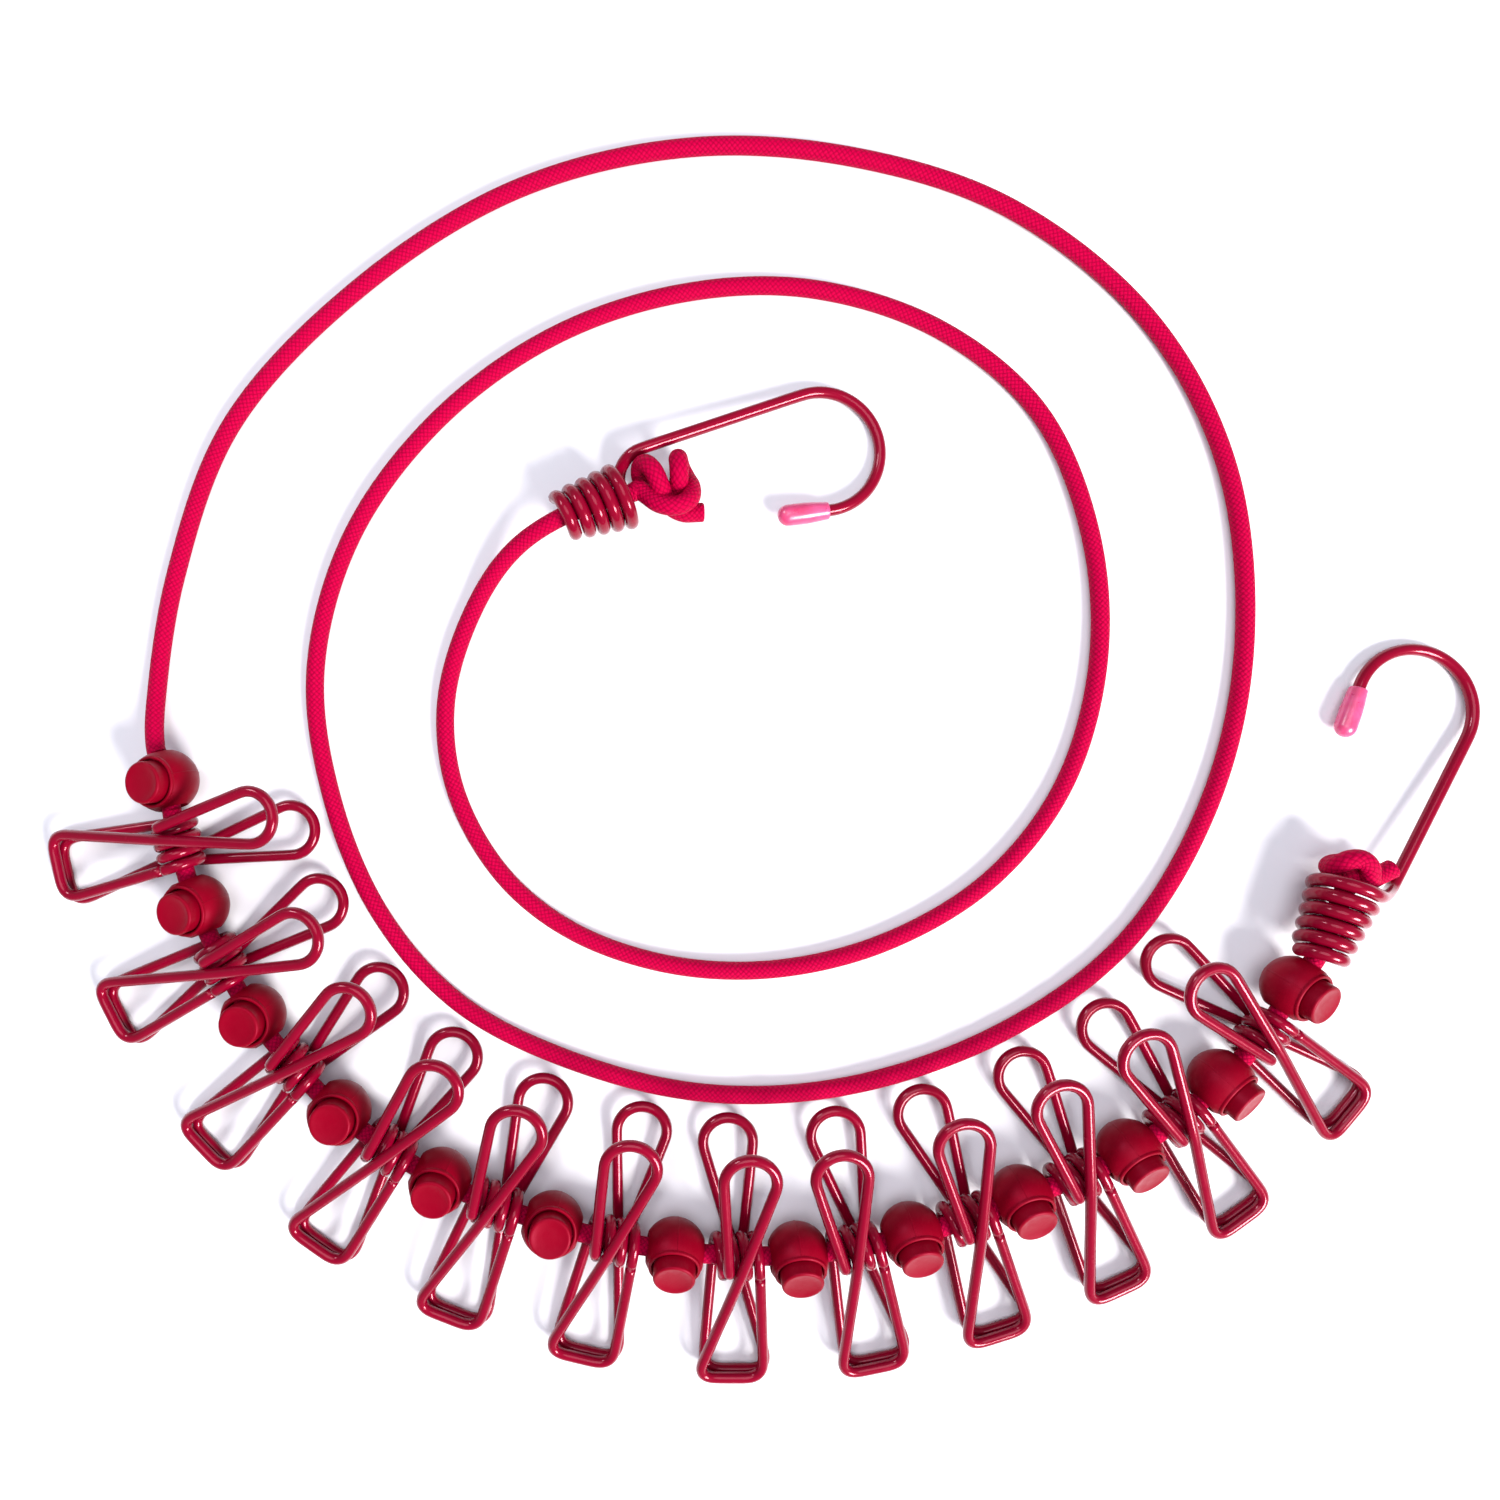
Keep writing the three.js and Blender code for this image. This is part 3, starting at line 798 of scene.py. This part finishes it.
def frame_z(y):
    """Height of a frame's wire above the clip's mid-plane, with the bend at the crossing eased."""
    rise, fall = (LOOP_Z - CROSS_Z) / LOOP_Y, (CROSS_Z - JAW_Z) / JAW_Y
    slope, bend = (rise + fall) / 2, (fall - rise) / 2
    eased = np.sqrt(y * y + CROSS_EASE * CROSS_EASE) - CROSS_EASE
    return CROSS_Z + slope * y - bend * eased


def lifted(flat):
    flat = np.asarray(flat, float)
    return np.column_stack([flat, frame_z(flat[:, 1])])


def leg_line():
    """The frame's last leg: its corner at the jaw, the coil's start, and where the wire stops."""
    jaw = np.array([JAW_HALF - JAW_SHIFT, -JAW_Y, JAW_Z])
    coil = np.array([COIL_HALF, COIL_START_Y, COIL_RADIUS])
    return jaw, coil, coil + unit(jaw - coil) * LEG_END


def frame_path(sway):
    """A frame's wire, from its free end round the loop and the jaw to the coil's start."""
    jaw_left = np.array([-JAW_HALF - JAW_SHIFT, -JAW_Y])
    loop = np.array([sway, LOOP_Y])
    right, right_angle = touch(jaw_left, loop, LOOP_RADIUS, -1)
    share = right[1] / (right[1] - jaw_left[1])
    crossing_x = right[0] + (jaw_left[0] - right[0]) * share
    free = np.array([crossing_x - FREE_END_GAP, FREE_END_Y])
    left, left_angle = touch(free, loop, LOOP_RADIUS, 1)
    angles = np.linspace(left_angle, right_angle, LOOP_STEPS)
    arc = loop + LOOP_RADIUS * np.stack([np.cos(angles), np.sin(angles)], 1)
    outward = straight(free, left, LEG_STEPS)
    crossing = straight(right, jaw_left, CROSSING_STEPS)
    points = lifted(np.vstack([free, outward, arc[1:], crossing]))
    jaw, coil, leg_end = leg_line()
    left_corner = points[-1]
    kept = points[np.linalg.norm(points - left_corner, axis=1) > JAW_CORNER]
    first = corner(kept[-1], left_corner, jaw, JAW_CORNER, CORNER_STEPS)
    second = corner(left_corner, jaw, coil, JAW_CORNER, CORNER_STEPS)
    path = [kept, first, straight(first[-1], second[0], JAW_STEPS)[:-1], second]
    path.append(straight(second[-1], leg_end, LEG_STEPS))
    return softened(np.vstack(path), CLIP_SMOOTHING)


def coil_path():
    """The coil in the clip's frame, from the lower frame's leg to the upper frame's."""
    whole = COIL_TURNS * 360
    angles = np.linspace(COIL_EASE, whole - COIL_EASE, COIL_STEPS)
    turns = np.radians(angles)
    x = -COIL_HALF * (1 - 2 * angles / whole)
    coil = np.stack([x, COIL_RADIUS * np.sin(turns), -COIL_RADIUS * np.cos(turns)], 1)
    _, start, leg_end = leg_line()
    pulled = leg_end + unit(start - leg_end) * COIL_PULL[0]
    pulled_back = coil[-1] - unit(coil[-2] - coil[-1]) * COIL_PULL[1]
    lead = bezier(leg_end, pulled, pulled_back, coil[-1], CORNER_STEPS)
    flip = np.array([-1, 1, -1])
    return np.vstack([lead[:-1] * flip, coil, lead[:-1][::-1]])


def clip_place(index):
    start, end = STOPS[index], STOPS[index + 1]
    up = np.array([0, 0, 1.0])
    x = turned(unit(end - start), up, CLIP_TURN[index])
    y = turned(unit(np.cross(up, x)), x, CLIP_TILT)
    return basis(x, y, clip_centre(index))


FLIPPED = np.diag([-1.0, 1.0, -1.0, 1.0])
for index, sway in enumerate(CLIP_SWAY):
    label = f"clip_{index + 1:02d}"
    place = clip_place(index)
    verts, faces, uvs = tube(frame_path(sway), CLIP_WIRE, CLIP_SIDES, dome(CLIP_WIRE, 3))
    for part, turn in (("upper", np.eye(4)), ("lower", FLIPPED)):
        wire = new_piece(f"{label}_{part}_wire", verts, faces, COATING, uvs, place=place @ turn)
        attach(wire, f"{label}_{part}")
        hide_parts(f"{label}_{part}_frame")
    verts, faces, uvs = tube(coil_path(), CLIP_WIRE, CLIP_SIDES)
    coil = new_piece(f"{label}_coil", verts, faces, COATING, uvs, place=place)
    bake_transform(coil)
    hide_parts(f"{label}_lower_frame")

# ------------------------------------------------------------------ cord stops

HOLE_SIDES = 40
HOLE_FLARE = [(0, -0.55), (0.06, -0.3), (0.28, -0.02), (1.0, 0.5)]  # (wider, beyond the edge)
BALL_STEPS = 30
BALL_SIDES = 72
RIM = 0.42  # radius of the rolled rim round the button's bore
RIM_RISE = 0.35  # of the rim's middle above the circle where the ball ends
SEAMS = (90, 270)  # degrees round the ball where the mould parted
SEAM_SIDES = (-1.6, -0.9, 0.9, 1.6)  # degrees from a seam where its slopes begin and end
SEAM_HALF = 1.0  # degrees; what lies nearer to a seam is raised
PARTING = 0.06  # height of the mould's parting line
BUTTON_SIDES = 56
BUTTON_EDGE = 0.55
BUTTON_ROWS = (1.0, 3.6, 6.0)  # heights of the rings up its side
BUTTON_DISH = [(4.0, 0.02), (3.65, 0.14), (2.6, 0.3), (1.3, 0.38), (0, 0.4)]  # (radius, depth)
NOSE_EDGE = 0.3
SHOULDER_EDGE = 0.2
SLOT_STEPS = 16  # round each end of the slot
SLOT_REACH = 8  # past both sides of the nose
SPRING_WIRE = 0.2
SPRING_SIDES = 8
SPRING_TURNS = 3.4
SPRING_STEPS = 82
SPRING_FLAT = 0.12  # share of its wire that lies flat at each end
SPRING_RADIUS, SPRING_NARROWS = 2.85, 1.15  # at its foot, and how much less at its top
SPRING_PLAY = 0.02


def hole_cutter():
    """The cord's hole, along X, opening out a little where it meets the ball."""
    edge = math.sqrt(BALL_RADIUS**2 - CORD_HOLE_RADIUS**2)
    half = [(CORD_HOLE_RADIUS + wider, edge + beyond) for wider, beyond in HOLE_FLARE]
    end = half[-1][1]
    rows = [(0, -end), *[(r, -y) for r, y in half[::-1]], *half, (0, end)]
    verts, faces = lathe(rows, full_turn(HOLE_SIDES))
    return verts[:, [1, 0, 2]] * np.array([1, -1, 1]), faces


def ball_mesh():
    """The stop's ball, with a rolled rim round the button's bore and a fine parting line."""
    rim = BORE_RADIUS + RIM
    seat = math.sqrt(BALL_RADIUS**2 - (rim + RIM) ** 2)
    rows = [(0, -BALL_RADIUS)]
    limit = math.degrees(math.asin((rim + RIM) / BALL_RADIUS))
    for a in np.radians(np.linspace(180, limit, BALL_STEPS)[1:]):
        rows.append((BALL_RADIUS * math.sin(a), BALL_RADIUS * math.cos(a)))
    rows += round_row(rim, seat + RIM_RISE, RIM, 0, 180, 7)
    rows += [(BORE_RADIUS, seat - 1), (BORE_RADIUS, 0), (BORE_RADIUS, BORE_FLOOR)]
    rows += [(POCKET_RADIUS, BORE_FLOOR), (POCKET_RADIUS, POCKET_FLOOR), (0, POCKET_FLOOR)]
    around = set(np.linspace(0, 360, BALL_SIDES, endpoint=False).round(3))
    for seam in SEAMS:
        around |= {seam + d for d in SEAM_SIDES}
    verts, faces = lathe(rows, np.radians(sorted(around)))
    radial = np.hypot(verts[:, 0], verts[:, 2])
    outside = (np.linalg.norm(verts, axis=1) > BALL_RADIUS - 0.01) & (verts[:, 1] < seat + 0.01)
    reach = np.maximum(radial, 1e-6) * math.sin(math.radians(SEAM_HALF))
    seam = outside & (np.abs(verts[:, 0]) < reach)
    verts[seam] *= (BALL_RADIUS + PARTING) / BALL_RADIUS
    return cut("ball", (verts, faces), hole_cutter())


def button_mesh():
    """The push button: rounded rim, dished end, collar, and a nose with the cord's slot."""
    edge = BUTTON_EDGE
    rows = [(0, NOSE_END), (NOSE_RADIUS - NOSE_EDGE, NOSE_END), (NOSE_RADIUS, NOSE_END + NOSE_EDGE)]
    rows += [(NOSE_RADIUS, SHOULDER), (BUTTON_RADIUS - SHOULDER_EDGE, SHOULDER)]
    rows += [(BUTTON_RADIUS, y) for y in (SHOULDER + SHOULDER_EDGE, *BUTTON_ROWS)]
    rows += round_row(BUTTON_RADIUS - edge, BUTTON_TOP - edge, edge, 0, 90, 7)
    rows += [(radius, BUTTON_TOP - depth) for radius, depth in BUTTON_DISH]
    body = lathe(rows, full_turn(BUTTON_SIDES))
    outline = round_row(0, 0, SLOT_RADIUS, 180, 360, SLOT_STEPS)
    outline += round_row(0, BUTTON_TRAVEL, SLOT_RADIUS, 0, 180, SLOT_STEPS)
    n = len(outline)
    verts = [(x, y, z) for x in (-SLOT_REACH, SLOT_REACH) for z, y in outline]
    faces = [tuple(range(n)), tuple(range(2 * n - 1, n - 1, -1))]
    faces += [(i, (i + 1) % n, n + (i + 1) % n, n + i) for i in range(n)]
    return cut("button", body, (np.array(verts, float), faces))


def spring_mesh():
    """A conical spring standing in the pocket under the nose."""
    turns = np.linspace(0, SPRING_TURNS, SPRING_STEPS)
    share = turns / turns[-1]
    rise = np.clip((share - SPRING_FLAT) / (1 - 2 * SPRING_FLAT), 0, 1)
    low, high = POCKET_FLOOR + SPRING_WIRE + SPRING_PLAY, NOSE_END - SPRING_WIRE - SPRING_PLAY
    radius = SPRING_RADIUS - SPRING_NARROWS * share
    angles = 2 * math.pi * turns
    height = low + (high - low) * rise
    path = np.stack([radius * np.cos(angles), height, radius * np.sin(angles)], 1)
    end = dome(SPRING_WIRE, 2)
    return tube(path, SPRING_WIRE, SPRING_SIDES, end, end)


def stop_place(index):
    """A stop's place, with the cord bent evenly to both sides of it."""
    chain = np.array([RISE[-1], *STOPS, LEAD_OUT[0]], float)
    here = chain[index + 1]
    x = unit(unit(here - chain[index]) + unit(chain[index + 2] - here))
    side = unit(np.cross(x, (0, 0, 1)))
    return basis(x, turned(side, x, -BUTTON_RISE[index]), here)


ball, button, spring = ball_mesh(), button_mesh(), spring_mesh()
for index in range(len(STOPS)):
    label = f"stop_{index + 1:02d}"
    place = stop_place(index)
    body = new_piece(f"{label}_ball", *ball, PLASTIC, sharp=28, place=place)
    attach(body, label)
    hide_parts(f"{label}_body")
    plunger = new_piece(f"{label}_plunger", *button, PLASTIC, sharp=32, place=place)
    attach(plunger, f"{label}_button")
    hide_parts(f"{label}_button")
    coil = new_piece(f"{label}_spring", spring[0], spring[1], STEEL, spring[2], place=place)
    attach(coil, label)
    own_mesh(coil)

# ------------------------------------------------------------------ floor and light

FLOOR_HALF = 3.0  # metres, like everything below

floor_mesh = bpy.data.meshes.new("floor")
h = FLOOR_HALF
floor_mesh.from_pydata([(-h, -h, 0), (h, -h, 0), (h, h, 0), (-h, h, 0)], [], [(0, 1, 2, 3)])
floor_mesh.materials.append(floor_look())
floor = bpy.data.objects.new("floor", floor_mesh)
bpy.context.scene.collection.objects.link(floor)


AIM = (0, 0.02, 0)


def area_light(name, at, size, power, colour):
    data = bpy.data.lights.new(name, "AREA")
    data.shape = "DISK"
    data.size = size
    data.energy = power
    data.color = colour
    lamp = bpy.data.objects.new(name, data)
    away = unit(np.array(at, float) - np.array(AIM, float))
    x = unit(np.cross((0, 0, 1), away))
    matrix = np.eye(4)
    matrix[:3, 0], matrix[:3, 1], matrix[:3, 2] = x, np.cross(away, x), away
    matrix[:3, 3] = at
    lamp.matrix_world = Matrix(matrix.tolist())
    bpy.context.scene.collection.objects.link(lamp)


area_light("key", at=(0.75, -0.75, 0.95), size=0.62, power=46.0, colour=(1.0, 0.99, 0.98))
area_light("top", at=(-0.1, 0.25, 1.3), size=1.0, power=10.0, colour=(0.93, 0.93, 1.0))
area_light("rim", at=(-0.7, 0.6, 0.7), size=0.3, power=5.0, colour=(0.93, 0.94, 1.0))

world = bpy.data.worlds.new("soft_surround")
world.use_nodes = True
background = world.node_tree.nodes["Background"]
background.inputs["Color"].default_value = (0.82, 0.83, 1.0, 1)
background.inputs["Strength"].default_value = 0.38
bpy.context.scene.world = world
bpy.context.scene.view_settings.view_transform = "Standard"
